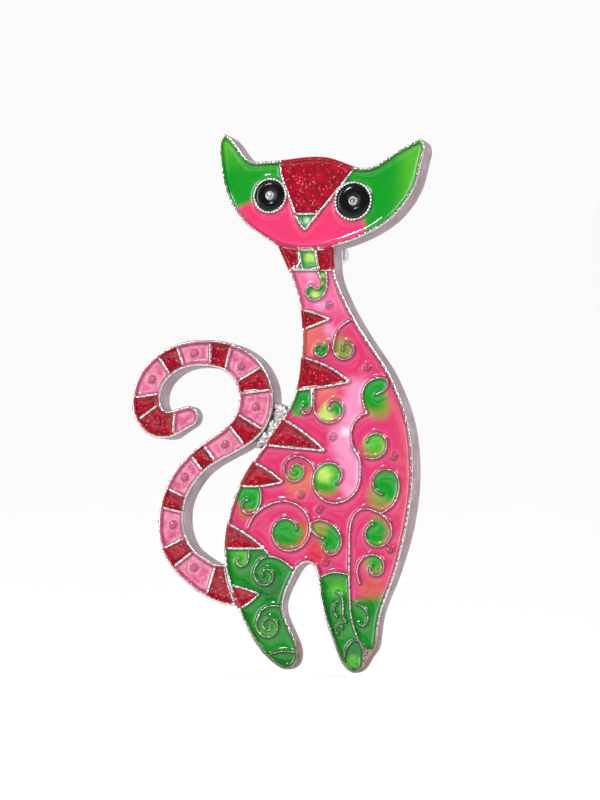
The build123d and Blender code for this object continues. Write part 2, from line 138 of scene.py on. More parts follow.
def show(obj, node, material):
    """Hands a finished piece to the frame: its body, the node it stands for and its material."""
    obj.data.materials.clear()
    obj.data.materials.append(material)
    body = nodes[node]["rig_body"]
    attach(obj, body)
    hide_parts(node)


# %% [markdown]
# ## New skins for the flats
# A flat cell or a flat raised line could be shaped with a bevel, but a bevel needs clean edges, and here
# hundreds of curved lines meet. A new skin is surer. The flat is taken off, rows of points are laid beside
# its edge at growing distances, and a triangulation joins them to the old edge, so the piece stays closed.
# Every point then knows its distance to the edge, and a height comes from that distance.
# %% Take a flat off and lay a denser skin
EDGE_STEP = 0.03
NEAR_EDGE = 0.93


def cap_faces(bm, height):
    """The faces of the flat at one height, which all look forwards."""
    return [f for f in bm.faces if f.normal.y < -0.99 and abs(-f.calc_center_median().y / MM - height) < 0.01]


def edge_loops(faces):
    """The closed runs of vertices round some faces, with the faces on the left, seen from the front."""
    inside = set(faces)
    following = {}
    for face in faces:
        for corner in face.loops:
            if any(other not in inside for other in corner.edge.link_faces if other is not face):
                following[corner.vert] = corner.link_loop_next.vert
    runs = []
    while following:
        start, vert = next(iter(following.items()))
        run = [start]
        del following[start]
        while vert is not start and vert in following:
            run.append(vert)
            vert = following.pop(vert)
        runs.append(run)
    return runs


def evenly(points, step):
    """A closed run of points, spaced evenly, and the unit normals that point to its left."""
    closed = np.vstack([points, points[:1]])
    lengths = np.hypot(*(closed[1:] - closed[:-1]).T)
    along = np.concatenate([[0], np.cumsum(lengths)])
    count = max(6, int(round(along[-1] / step)))
    at = np.arange(count) / count * along[-1]
    even = np.column_stack([np.interp(at, along, closed[:, k]) for k in (0, 1)])
    tangent = np.roll(even, -1, axis=0) - np.roll(even, 1, axis=0)
    tangent /= np.maximum(np.hypot(*tangent.T), 1e-9)[:, None]
    return even, np.column_stack([-tangent[:, 1], tangent[:, 0]])


def tree_of(points):
    tree = kdtree.KDTree(len(points))
    for i, (x, z) in enumerate(points):
        tree.insert((x, z, 0), i)
    tree.balance()
    return tree


def inner_points(runs, rows, step, spacing):
    """Points for the skin, in rows beside the edge and on a grid further in, and a distance function."""
    dense = [evenly(run, EDGE_STEP) for run in runs]
    edge, normals = np.vstack([d[0] for d in dense]), np.vstack([d[1] for d in dense])
    tree = tree_of(edge)

    def distance(x, z):
        return tree.find((x, z, 0))[2]

    found = []
    for run in runs:
        even, normal = evenly(run, step)
        for row in rows:
            for x, z in even + normal * row:
                if distance(x, z) > row * NEAR_EDGE:
                    found.append((x, z))
    low, high = edge.min(axis=0), edge.max(axis=0)
    row_height = spacing * math.sqrt(3) / 2
    for j, z in enumerate(np.arange(low[1], high[1], row_height)):
        for x in np.arange(low[0] + (j % 2) * spacing / 2, high[0], spacing):
            nearest, i, gap = tree.find((x, z, 0))
            inside = (x - edge[i, 0]) * normals[i, 0] + (z - edge[i, 1]) * normals[i, 1] > 0
            if inside and gap > rows[-1] + spacing * 0.5:
                found.append((x, z))
    return found, distance


def reskin(obj, flat, foot, height, rows, step, spacing):
    """Replaces the flat at one height by a skin. height(distance, x, z) gives the skin's own heights."""
    bm = bmesh.new()
    bm.from_mesh(obj.data)
    faces = cap_faces(bm, flat)
    loops = edge_loops(faces)
    bmesh.ops.delete(bm, geom=faces, context="FACES")
    runs = [np.array([(v.co.x / MM, v.co.z / MM) for v in loop]) for loop in loops]
    extra, distance = inner_points(runs, rows, step, spacing)
    edge_verts = [v for loop in loops for v in loop]
    edges, start = [], 0
    for loop in loops:
        edges += [(start + i, start + (i + 1) % len(loop)) for i in range(len(loop))]
        start += len(loop)
    flat_points = [Vector((v.co.x / MM, v.co.z / MM)) for v in edge_verts] + [Vector(p) for p in extra]
    points, _, triangles, origins, _, _ = geometry.delaunay_2d_cdt(flat_points, edges, [], 0, 1e-6)
    verts = []
    for point, origin in zip(points, origins):
        at_edge = [i for i in origin if i < len(edge_verts)]
        if at_edge:
            verts.append(edge_verts[at_edge[0]])
        else:
            verts.append(bm.verts.new((point.x * MM, -height(distance(*point), *point) * MM, point.y * MM)))
    for v in edge_verts:
        v.co.y = -foot * MM
    index = {i: k for k, origin in enumerate(origins) for i in origin}
    walls = {(index[a], index[b]) for a, b in edges}
    for triangle in inside_of(triangles, walls):
        corners = [verts[i] for i in triangle]
        if bm.faces.get(corners) is None and len(set(corners)) == 3:
            bm.faces.new(corners)
    bmesh.ops.delete(bm, geom=[v for v in bm.verts if not v.link_faces], context="VERTS")
    bm.normal_update()
    bm.to_mesh(obj.data)
    bm.free()
    obj.data.update()
    return runs


def inside_of(triangles, walls):
    """The triangles on the left of the walls, spread from wall to wall."""
    sides = {}
    for number, triangle in enumerate(triangles):
        for i in range(3):
            sides[(triangle[i], triangle[(i + 1) % 3])] = number
    queue = [sides[wall] for wall in walls if wall in sides]
    kept = set(queue)
    while queue:
        triangle = triangles[queue.pop()]
        for i in range(3):
            a, b = triangle[i], triangle[(i + 1) % 3]
            if (a, b) in walls or (b, a) in walls:
                continue
            neighbour = sides.get((b, a))
            if neighbour is not None and neighbour not in kept:
                kept.add(neighbour)
                queue.append(neighbour)
    return [triangles[i] for i in kept]


# %% [markdown]
# ## Raised lines with round tops
# The two castings are copied and only the flat tops of their raised lines are laid anew. The height follows
# a quarter circle from the foot of a line to its middle, which also rounds the outer rim over.
# %% Castings
LINE_ROWS = (0.035, 0.08, 0.13)
LINE_STEP = 0.13
LINE_GRID = 0.3
LINE_WOBBLE = 0.022
POST_WIDTH = 0.9


def line_height(distance, x, z):
    share = min(distance / LINE_HALF, 1)
    wobble = LINE_WOBBLE * math.sin(7.1 * x + 2.7 * z) * math.sin(6.3 * z - 3.1 * x)
    return LINE_FOOT + (LINE_TOP + wobble - LINE_FOOT) * math.sqrt(1 - (1 - share) ** 2)


def make_casting(node, name):
    """The copy with its new tops, and the middles of its round posts."""
    obj = copy_node(node, name)
    runs = reskin(obj, LINE_FLAT, LINE_FOOT, line_height, LINE_ROWS, LINE_STEP, LINE_GRID)
    activate(obj)
    bpy.ops.object.shade_smooth_by_angle(angle=math.radians(40))
    posts = [run.mean(axis=0) for run in runs if np.ptp(run, axis=0).max() < POST_WIDTH]
    print(name, "triangles", len(obj.data.polygons), "posts", len(posts))
    return obj, posts


cat, cat_posts = make_casting("cat_casting", "cat_metal")
tail, tail_posts = make_casting("tail_casting", "tail_metal")

# %% [markdown]
# ## Colours
# Colours are easiest to judge as they look on a screen, and Blender works with light, so one function turns
# the first into the second.
# %% Colour values
def colour(red, green, blue):
    """Screen values from 0 to 255 as linear light."""
    linear = []
    for value in (red, green, blue):
        share = value / 255
        linear.append(share / 12.92 if share <= 0.04045 else ((share + 0.055) / 1.055) ** 2.4)
    return tuple(linear)


PINK = colour(222, 54, 106)
COAT_PINK = colour(206, 52, 104)
ROSE = colour(204, 66, 100)
PAINTED_SHEEN = colour(228, 140, 182)
SALMON = colour(210, 98, 94)
GREEN = colour(14, 142, 32)
NOSE_HIGHLIGHT = colour(176, 222, 160)
DEEP_GREEN = colour(8, 104, 26)
LEG_GREEN = colour(14, 124, 24)
LEAF = colour(76, 172, 44)
LIME = colour(180, 216, 96)
OLIVE = colour(134, 138, 58)
ORANGE = colour(190, 78, 64)
WARM_RED = colour(204, 44, 62)
PAINTED_HIGHLIGHT = colour(248, 214, 232)
RED = colour(184, 4, 32)
LILAC_PINK = colour(220, 100, 144)
BLACK = colour(6, 7, 9)
print("pink as light", [round(value, 3) for value in PINK])


# %% [markdown]
# ## Painted enamel
# A painter drops one colour into a cell and touches a second one in, and the two run together, but never
# across a raised line. So a colour's reach is measured over the skin of its own cell, from point to point,
# and not straight through the air: a curl keeps its green inside, and the green fades out of its mouth.
# %% Lay the enamel and paint it
ENAMEL_ROWS = (0.06, 0.15, 0.28, 0.45)
ENAMEL_STEP = 0.16


def enamel_height(distance, x, z, dip=ENAMEL_DIP):
    curve = dip * (1 - math.exp(-distance / DIP_WIDTH))
    swell = 0.02 * math.sin(0.9 * x + 0.5) * math.sin(0.8 * z)
    return ENAMEL_FOOT - curve + swell * min(distance, 1)


def smooth_step(share):
    share = np.clip(share, 0, 1)
    return share * share * (3 - 2 * share)


def places(obj):
    """Each vertex's x and z in millimetres."""
    flat = np.empty(len(obj.data.vertices) * 3)
    obj.data.vertices.foreach_get("co", flat)
    return flat.reshape(-1, 3)[:, [0, 2]] / MM


def reach(obj, spot, limit):
    """The way over the piece's edges from a spot to each vertex, up to a limit."""
    at = places(obj)
    ways = {}
    for edge in obj.data.edges:
        a, b = edge.vertices
        length = float(np.hypot(*(at[a] - at[b])))
        ways.setdefault(a, []).append((b, length))
        ways.setdefault(b, []).append((a, length))
    start = int(np.argmin(np.hypot(*(at - np.array(spot)).T)))
    best = np.full(len(at), np.inf)
    best[start] = 0
    queue = [(0.0, start)]
    while queue:
        so_far, here = heapq.heappop(queue)
        if so_far > best[here] or so_far > limit:
            continue
        for there, length in ways[here]:
            if so_far + length < best[there]:
                best[there] = so_far + length
                heapq.heappush(queue, (so_far + length, there))
    return best


def paint(obj, base, drops=(), washes=()):
    """Colours a piece. A drop is (spot, colour, full radius, end radius); a wash is (mask, colour)."""
    at = places(obj)
    mixed = np.tile(np.array(base), (len(at), 1))
    for mask, tint in washes:
        share = smooth_step(mask(at[:, 0], at[:, 1]))[:, None]
        mixed = mixed * (1 - share) + np.array(tint) * share
    for spot, tint, full, end in drops:
        share = smooth_step((end - reach(obj, spot, end)) / (end - full))[:, None]
        mixed = mixed * (1 - share) + np.array(tint) * share
    layer = obj.data.color_attributes.new("paint", "FLOAT_COLOR", "POINT")
    layer.data.foreach_set("color", np.hstack([mixed, np.ones((len(at), 1))]).ravel())
    return obj


skins = []


def make_enamel(node, base, drops=(), washes=(), spacing=0.35, dip=ENAMEL_DIP):
    """A finished enamel. A negative dip makes it a dome."""
    obj = copy_node(node, node + "_skin")
    skins.append(obj)

    def height(distance, x, z):
        return enamel_height(distance, x, z, dip)

    reskin(obj, ENAMEL_FLAT, ENAMEL_FOOT, height, ENAMEL_ROWS, ENAMEL_STEP, spacing)
    activate(obj)
    bpy.ops.object.shade_smooth_by_angle(angle=math.radians(50))
    return paint(obj, base, drops, washes)


# %% [markdown]
# ## Shader maths as sums
# A material is a sum of a few masks. Written as Python expressions they stay readable: a small class wraps
# a socket, and adding or multiplying two of them adds the Math node that does it.
# %% A socket that can be added and multiplied
class Value:
    def __init__(self, recipe, socket):
        self.recipe, self.socket = recipe, socket

    def math(self, operation, *others):
        return self.recipe.node("ShaderNodeMath", {"operation": operation}, [self, *others])

    def __add__(self, other):
        return self.math("ADD", other)

    def __mul__(self, other):
        return self.math("MULTIPLY", other)

    def __sub__(self, other):
        return self.math("SUBTRACT", other)

    def __rsub__(self, other):
        return self.recipe.node("ShaderNodeMath", {"operation": "SUBTRACT"}, [other, self])

    __radd__, __rmul__ = __add__, __mul__

    def ramp(self, low, high):
        """0 up to low, 1 from high on, and even between them."""
        settings = {"interpolation_type": "SMOOTHSTEP"}
        inputs = {"Value": self, "From Min": low, "From Max": high}
        return self.recipe.node("ShaderNodeMapRange", settings, inputs)


class Recipe:
    """A material under construction. node() makes any node; the rest are the few that are used often."""

    def __init__(self, name):
        self.material = bpy.data.materials.new(name)
        self.material.use_nodes = True
        self.tree = self.material.node_tree
        self.surface = self.tree.nodes["Principled BSDF"]
        self.place = self.node("ShaderNodeTexCoord", {}, {}, "Object")

    def feed(self, sockets, inputs):
        pairs = inputs.items() if isinstance(inputs, dict) else enumerate(inputs)
        for key, value in pairs:
            if isinstance(value, Value):
                self.tree.links.new(value.socket, sockets[key])
            else:
                sockets[key].default_value = value

    def node(self, kind, settings, inputs, output=0):
        made = self.tree.nodes.new(kind)
        for key, value in settings.items():
            setattr(made, key, value)
        self.feed(made.inputs, inputs)
        return Value(self, made.outputs[output])

    def noise(self, size, detail=2.0, rough=0.5):
        """Noise whose lumps are about size millimetres across."""
        inputs = {"Vector": self.place, "Scale": 1 / (size * MM), "Detail": detail, "Roughness": rough}
        return self.node("ShaderNodeTexNoise", {}, inputs, "Fac")

    def flakes(self, size, output="Color"):
        inputs = {"Vector": self.place, "Scale": 1 / (size * MM)}
        return self.node("ShaderNodeTexVoronoi", {}, inputs, output)

    def mix(self, share, first, second, blend="MIX"):
        made = self.tree.nodes.new("ShaderNodeMix")
        made.data_type, made.blend_type = "RGBA", blend
        self.feed(made.inputs, {0: share, 6: first, 7: second})
        return Value(self, made.outputs[2])

    def bump(self, height, depth, strength=1.0, under=None):
        """A normal from a height. depth is in millimetres."""
        inputs = {"Height": height, "Distance": depth * MM, "Strength": strength}
        if under is not None:
            inputs["Normal"] = under
        return self.node("ShaderNodeBump", {}, inputs)

    def finish(self, **inputs):
        named = {key.replace("_", " "): value for key, value in inputs.items()}
        self.feed(self.surface.inputs, named)
        return self.material


# %% [markdown]
# ## Metals
# The casting is silver plate: nearly white and sharp on the raised lines, where hands polish it, satin on its
# walls, where the cast skin was never buffed, and a cleaner grey on its back. The walls' darker mauve is
# painted shade and a painted reflection of the pink enamel. Height over the back finds the lines and the
# normal finds the back. Near the feet the plate has worn through to brown.
# %% Plated metal
def along(recipe, axis):
    """One coordinate of the piece, in millimetres."""
    split = recipe.node("ShaderNodeSeparateXYZ", {}, {"Vector": recipe.place}, axis)
    return split * (1 / MM)


def plated_casting():
    recipe = Recipe("silver plate on zinc")
    height = -1 * along(recipe, "Y")
    polished = height.ramp(LINE_FOOT + 0.07, LINE_FOOT + 0.185)
    film = recipe.node("ShaderNodeAttribute", {"attribute_name": "film"}, {}, "Color")
    cover = recipe.node("ShaderNodeAttribute", {"attribute_name": "film"}, {}, "Alpha")
    grain = recipe.noise(0.12, 3, 0.6)
    torn = (cover + (recipe.noise(0.35, 2) - 0.5) * 0.9).ramp(0.35, 0.6) * cover.ramp(0.02, 0.2)
    patches = recipe.noise(1.6, 4, 0.6).ramp(0.25, 0.75)
    # The walls get a darker mauve than the back: painted shade and a painted pink reflection on the satin
    # walls.
    wall = recipe.mix(patches, (*colour(142, 122, 130), 1), (*colour(172, 154, 161), 1))
    back = recipe.mix(patches, (*colour(158, 154, 156), 1), (*colour(178, 174, 175), 1))
    normal = recipe.node("ShaderNodeTexCoord", {}, {}, "Normal")
    faces_back = recipe.node("ShaderNodeSeparateXYZ", {}, {"Vector": normal}, "Y").ramp(0.3, 0.7)
    side = recipe.mix(faces_back, wall, back)
    line = recipe.mix(grain.ramp(0.35, 0.6), (*colour(206, 196, 196), 1), (*colour(252, 249, 246), 1))
    down = -1 * along(recipe, "Z")
    worn = down.ramp(23, 30) * recipe.noise(0.6, 3, 0.6).ramp(0.3, 0.55)
    worn = worn.math("MAXIMUM", down.ramp(27.4, 29) * 0.8) * height.ramp(1.0, 2.2)
    metal = recipe.mix(worn * 0.85, recipe.mix(polished, side, line), (*colour(126, 88, 62), 1))
    dull = (0.42 - polished * 0.3 + grain * 0.08) * (1 - torn) + torn * 0.16
    relief = recipe.bump(grain, 0.012, 0.55)
    relief = recipe.bump(recipe.noise(0.3, 2), 0.08, 0.8, relief)
    return recipe.finish(Base_Color=recipe.mix(torn, metal, film), Metallic=1 - torn * 0.75, Roughness=dull,
                         Coat_Weight=torn, Coat_Roughness=0.03, Normal=relief)


silver = plated_casting()
print(silver.name, "nodes", len(silver.node_tree.nodes))


# %% [markdown]
# ## Enamels
# All the enamels are one recipe: painted colour under a hard clear gloss. The reds hold glitter: flat flakes,
# each tilted its own way, under the same gloss; the flakes are lighter, partly in their own colour and partly
# as a painted glint. The pinks of the tail hold a finer mica, which only softens their light. Beside a line a
# pale band is painted as a highlight on the wet fillet, and nearer the line the colour is darker, partly
# because the enamel stands thick there and partly as painted shade, so both bands are found by their height.
# %% Enamel recipes
UNDER_GLOSS = 0.1
EDGE_SHADE = 0.34
GLOSS_IOR = 1.55


def thick_edge_shade(recipe):
    """How much darker the colour is made beside a line: partly the deeper colour of thick enamel, partly
    painted shade of the meniscus.
    """
    height = -1 * along(recipe, "Y")
    return height.ramp(ENAMEL_FOOT - 0.16, ENAMEL_FOOT - 0.01) * EDGE_SHADE


def painted_fillet_highlight(recipe):
    """A painted highlight: a pale band beside each line, standing for the light on the wet fillet."""
    height = -1 * along(recipe, "Y")
    above_pool = height.ramp(ENAMEL_FOOT - 0.175, ENAMEL_FOOT - 0.13)
    below_line = 1 - height.ramp(ENAMEL_FOOT - 0.12, ENAMEL_FOOT - 0.07)
    return above_pool * below_line * recipe.noise(1.3, 2).ramp(0.3, 0.6)


def painted_enamel():
    recipe = Recipe("painted enamel")
    painted = recipe.node("ShaderNodeAttribute", {"attribute_name": "paint"}, {}, "Color")
    cloud = recipe.noise(2.2, 2).ramp(0.3, 0.7)
    tone = recipe.mix(cloud * 0.1, painted, (*colour(255, 236, 236), 1), "SOFT_LIGHT")
    # Darker beside each line: thick enamel and painted shade.
    tone = recipe.mix(thick_edge_shade(recipe), tone, (0, 0, 0, 1))
    # Painted highlight: a paler band of the same hue beside each line.
    tone = recipe.mix(painted_fillet_highlight(recipe) * 0.4, tone, painted, "SCREEN")
    ripple = recipe.bump(recipe.noise(1.6, 1), 0.12, 0.5)
    return recipe.finish(
        Base_Color=tone, Roughness=0.3 + cloud * 0.08, Specular_IOR_Level=UNDER_GLOSS, Coat_Weight=1.0,
        Coat_IOR=GLOSS_IOR, Coat_Roughness=0.03, Normal=ripple,
    )


def glitter_enamel(name, deep, bright, flake_glint, share, size, highlight_strength):
    """Enamel with flakes: share is how much of it they cover, size their width in millimetres. The flakes
    take a lighter colour, partly their own and partly a painted glint. highlight_strength is how strong the
    painted highlight beside the lines is."""
    recipe = Recipe(name)
    flake = recipe.flakes(size)
    chance = recipe.node("ShaderNodeSeparateColor", {}, {"Color": flake}, 0)
    glint_share = chance.ramp(1 - share, 1 - share * 0.4)
    cloud = recipe.noise(0.9, 3).ramp(0.3, 0.72)
    ground = recipe.mix(cloud, (*deep, 1), (*bright, 1))
    # The flakes are lighter: partly their own colour, partly a painted glint.
    glinted = recipe.mix(glint_share * 0.8, ground, (*flake_glint, 1))
    # Darker beside each line: thick enamel and painted shade.
    tone = recipe.mix(thick_edge_shade(recipe), glinted, (0, 0, 0, 1))
    # Painted highlight: a pale band beside each line.
    tone = recipe.mix(painted_fillet_highlight(recipe) * highlight_strength, tone, (*colour(255, 226, 234), 1))
    tilt = recipe.bump(chance, 0.03, 0.4)
    return recipe.finish(
        Base_Color=tone, Roughness=0.4 - glint_share * 0.15,
        Specular_IOR_Level=UNDER_GLOSS, Coat_Weight=1.0, Coat_IOR=GLOSS_IOR,
        Coat_Roughness=0.03, Normal=tilt,
    )


def black_enamel():
    recipe = Recipe("black enamel")
    tone = recipe.mix(recipe.noise(0.9, 2), (*BLACK, 1), (*colour(20, 22, 26), 1))
    return recipe.finish(Base_Color=tone, Roughness=0.12, Normal=recipe.bump(recipe.noise(1.4, 1), 0.08, 0.4))


painted = painted_enamel()
red_glitter = glitter_enamel(
    "red glitter enamel", colour(142, 0, 26), colour(202, 2, 46), colour(255, 150, 166), 0.05, 0.12, 0.0,
)
pink_mica = glitter_enamel(
    "pink mica enamel", colour(196, 70, 116), colour(224, 112, 150), colour(255, 200, 220), 0.04, 0.09, 0.26,
)
gloss_black = black_enamel()
for enamel in (painted, red_glitter, pink_mica, gloss_black):
    print(enamel.name, "nodes", len(enamel.node_tree.nodes))

# %% [markdown]
# ## The face
# One cell runs from ear to ear under the chin. Its ears are green and its cheeks pink, with a soft border
# beside each eye.
# %% Face, nose and eyes
def ears(x, z):
    left = (z - 23.2 - 0.35 * (x + 8)) / 1.0 + 0.5
    right = np.maximum((x - 5.7 + 0.25 * (z - 20)) / 1.0, (z - 24.2) / 1.0) + 0.5
    return np.where(x < -1, left, right)


face = make_enamel(
    "face_enamel", PINK, washes=[
        (ears, GREEN),
        (lambda x, z: np.clip(ears(x, z), 0, 1) * (z - 26.0) / 5, LEAF),
        (lambda x, z: np.clip(ears(x, z), 0, 1) * (x - 8.5) / 3.5, LEAF),
    ],
)
show(face, "face_enamel", painted)
print("face triangles", len(face.data.polygons))
# The pale green middle of the nose is a painted highlight.
nose = make_enamel("nose_enamel", colour(56, 140, 62), [((-1.25, 20.75), NOSE_HIGHLIGHT, 0.1, 0.6)])
show(nose, "nose_enamel", painted)
EYE_DOME = -0.16
for side in ("left", "right"):
    eye = make_enamel(f"eye_enamel_{side}", BLACK, dip=EYE_DOME)
    show(eye, f"eye_enamel_{side}", gloss_black)

# %% [markdown]
# ## Collar, stripes and tail
# The collar is a green stone between two red cells, with a pale painted highlight in its middle, and red
# flames run down the back. On the tail, red and pink cells take turns.
# %% Reds and pinks
# The stone's pale lime middle is a painted highlight.
STONE_HIGHLIGHT = [((-1.0, 16.5), LIME, 0.25, 0.9)]
collar = make_enamel("collar_enamel_middle", colour(64, 150, 70), STONE_HIGHLIGHT)
show(collar, "collar_enamel_middle", painted)
RED_DIP = 0.07
red_cells = [node for node in nodes if slots[node] == "enamel_red"]
pink_cells = [node for node in nodes if slots[node] == "enamel_pearl"]
for node in red_cells:
    show(make_enamel(node, RED, dip=RED_DIP), node, red_glitter)
for node in pink_cells:
    show(make_enamel(node, LILAC_PINK), node, pink_mica)
print("red cells", len(red_cells), "pink cells", len(pink_cells))

# %% [markdown]
# ## The coat
# The coat is the largest cell. It is pink, with a pale band down the middle painted in as a soft reflection
# and a white painted highlight in it, and every curl holds a drop of green that fades through olive.
# %% Coat and legs
# Pale drops: a painted soft reflection down the coat, with one white painted highlight.
SHEEN_DROPS = [
    ((4.9, 1.2), PAINTED_SHEEN, 0.2, 2.4), ((4.3, -0.6), PAINTED_SHEEN, 0.3, 2.6), ((3.9, -2.2), PAINTED_SHEEN, 0.2, 2.2),
    ((3.2, -4.0), PAINTED_SHEEN, 0.3, 2.6), ((3.2, -5.6), PAINTED_SHEEN, 0.3, 2.4), ((3.4, -3.7), PAINTED_HIGHLIGHT, 0.1, 0.9),
    ((4.0, -7.0), PAINTED_SHEEN, 0.3, 2.2),
    ((4.4, -8.6), PAINTED_SHEEN, 0.3, 2.2), ((3.9, -10.2), PAINTED_SHEEN, 0.1, 1.8), ((-0.6, 14.2), PAINTED_SHEEN, 0.1, 1.4),
    ((1.4, 7.8), PAINTED_SHEEN, 0.1, 1.3), ((0.4, 10.8), PAINTED_SHEEN, 0.1, 1.1),
]
OLIVES = [
    ((3.6, 5.7), OLIVE, 1.3, 3.2), ((0.4, 5.4), OLIVE, 0.9, 2.6), ((-0.9, 6.9), SALMON, 1.0, 3.0),
    ((1.2, 0.2), SALMON, 0.8, 2.2), ((7.4, -1.0), OLIVE, 0.7, 2.2), ((7.4, -5.6), OLIVE, 1.0, 2.6),
    ((-2.1, -9.2), SALMON, 1.2, 2.8), ((1.2, -9.8), OLIVE, 0.9, 1.9), ((7.6, -11.2), OLIVE, 0.8, 2.4),
    ((6.6, -16.2), OLIVE, 0.9, 2.2), ((-1.6, -15.4), WARM_RED, 0.6, 2.4), ((0.0, -17.2), WARM_RED, 0.5, 2.2),
    ((6.6, -21.4), ORANGE, 0.4, 2.2), ((6.8, -19.6), OLIVE, 1.0, 2.4), ((-8.9, -12.9), ORANGE, 0.3, 1.4),
]
GREENS = [
    ((0.4, 5.7), GREEN, 0.6, 1.7), ((3.5, 5.6), OLIVE, 0.6, 2.2), ((7.3, 1.5), GREEN, 1.4, 2.6),
    ((6.6, 0.2), GREEN, 0.9, 2.2), ((-1.6, 0.4), GREEN, 1.3, 2.0), ((-2.3, -1.0), GREEN, 0.5, 1.2),
    ((1.2, -1.6), LIME, 0.4, 1.6), ((2.6, -1.0), GREEN, 0.5, 1.4), ((-2.4, -8.1), LEAF, 0.7, 2.0),
    ((7.0, -5.0), LEAF, 0.6, 2.0), ((1.2, -8.6), GREEN, 1.6, 2.6), ((1.1, -8.6), LEAF, 0.9, 1.9),
    ((0.9, -8.7), LIME, 0.3, 1.4),
    ((8.4, -9.8), GREEN, 1.2, 2.4), ((8.6, -10.6), GREEN, 0.7, 1.8), ((-8.1, -10.8), GREEN, 1.4, 2.4),
    ((7.0, -15.1), GREEN, 1.0, 2.3), ((-3.6, -14.9), GREEN, 1.4, 2.9), ((1.9, -15.8), GREEN, 1.2, 2.4),
    ((0.3, -14.8), OLIVE, 0.6, 1.5), ((7.0, -18.6), GREEN, 0.3, 1.6),
]
FORELEG_GREEN = (lambda x, z: (-21.7 - z + 0.25 * (x - 6)) / 1.4 * (x > 3.6), LEG_GREEN)
BELLY_ROSE = (lambda x, z: (x - 7.6) / 3.0 * (z > -22), ROSE)
NECK_ROSE = (lambda x, z: (z - 7.5) / 4.0, LILAC_PINK)
coat = make_enamel(
    "coat_enamel", COAT_PINK, SHEEN_DROPS + OLIVES + GREENS, [BELLY_ROSE, NECK_ROSE, FORELEG_GREEN], spacing=0.28,
)
show(coat, "coat_enamel", painted)
small_cells = {
    "throat_enamel": (colour(66, 146, 62), [
        ((-0.3, 12.2), LIME, 0.25, 0.8), ((0.8, 13.4), LIME, 0.1, 0.45), ((0.7, 14.3), LIME, 0.1, 0.5),
    ]),
    "hind_leg_enamel": (LEG_GREEN, [
        ((-9.3, -18.4), LEAF, 0.4, 2.4), ((-6.0, -27.0), LEAF, 0.6, 2.6),
        ((-5.6, -21.6), DEEP_GREEN, 0.8, 2.6),
    ]),
    "hind_toe_enamel": (LEG_GREEN, [((-3.6, -29.7), DEEP_GREEN, 0.3, 1.8)]),
    "front_leg_enamel": (LEG_GREEN, [((1.2, -24.0), DEEP_GREEN, 0.3, 2.4), ((2.4, -21.6), LEAF, 0.2, 1.6)]),
    "front_toe_enamel": (DEEP_GREEN, [((4.4, -29.8), LEAF, 0.2, 1.2)]),
}
for node, (base, drops) in small_cells.items():
    show(make_enamel(node, base, drops), node, painted)
print("coat triangles", len(coat.data.polygons))

# %% [markdown]
# ## Fittings on the back
# The bracket, rivet, stem, catch and lock are turned and pressed steel under nickel. Their shapes are right
# in the frame, and only their edges are too sharp, so each copy gets a narrow bevel.
# %% Fittings
def nickel():
    recipe = Recipe("nickel plated steel")
    fine = recipe.noise(0.25, 3, 0.6)
    wear = recipe.noise(1.6, 2).ramp(0.4, 0.7)
    tint = recipe.mix(wear, (*colour(206, 206, 210), 1), (*colour(232, 230, 228), 1))
    return recipe.finish(Base_Color=tint, Metallic=1.0, Roughness=0.16 + fine * 0.12,
                         Normal=recipe.bump(fine, 0.006, 0.5))


def make_fitting(node, name, material, width):
    obj = copy_node(node, name)
    bevel = obj.modifiers.new("edges", "BEVEL")
    bevel.width, bevel.segments, bevel.limit_method = width * MM, 3, "ANGLE"
    bevel.angle_limit = math.radians(50)
    activate(obj)
    bpy.ops.object.modifier_apply(modifier=bevel.name)
    bpy.ops.object.shade_smooth_by_angle(angle=math.radians(35))
    show(obj, node, material)
    return obj


steel = nickel()
for node, width in (("hinge_bracket", 0.08), ("hinge_rivet", 0.12), ("stem", 0.04),
                    ("catch_base", 0.07), ("catch_lock", 0.06)):
    piece = make_fitting(node, node + "_finished", steel, width)
    print(piece.name, "triangles", len(piece.data.polygons))

# %% [markdown]
# ## Solder
# The solder between the loop of the tail and the back was melted on in lumps. The block is remeshed finely
# and pushed in and out by two sizes of noise.
# %% Rough solder
def make_solder():
    obj = copy_node("tail_solder", "tail_solder_lump")
    remesh = obj.modifiers.new("even", "REMESH")
    remesh.mode, remesh.voxel_size = "VOXEL", 0.09 * MM
    activate(obj)
    bpy.ops.object.modifier_apply(modifier=remesh.name)
    for size, depth in ((0.9, 0.35), (0.3, 0.16)):
        pattern = bpy.data.textures.new("lumps", "CLOUDS")
        pattern.noise_scale = size * MM
        push = obj.modifiers.new("lumps", "DISPLACE")
        push.texture, push.strength, push.mid_level = pattern, depth * MM * 2, 0.5
        push.texture_coords = "GLOBAL"
        bpy.ops.object.modifier_apply(modifier=push.name)
    bpy.ops.object.shade_smooth()
    return obj


def solder_metal():
    recipe = Recipe("rough solder")
    grain = recipe.noise(0.16, 4, 0.7)
    tint = recipe.mix(grain.ramp(0.3, 0.7), (*colour(150, 138, 138), 1), (*colour(250, 246, 244), 1))
    return recipe.finish(Base_Color=tint, Metallic=1.0, Roughness=0.2 + grain * 0.2,
                         Normal=recipe.bump(grain, 0.06, 0.8))


solder = make_solder()
show(solder, "tail_solder", solder_metal())
print("solder triangles", len(solder.data.polygons))

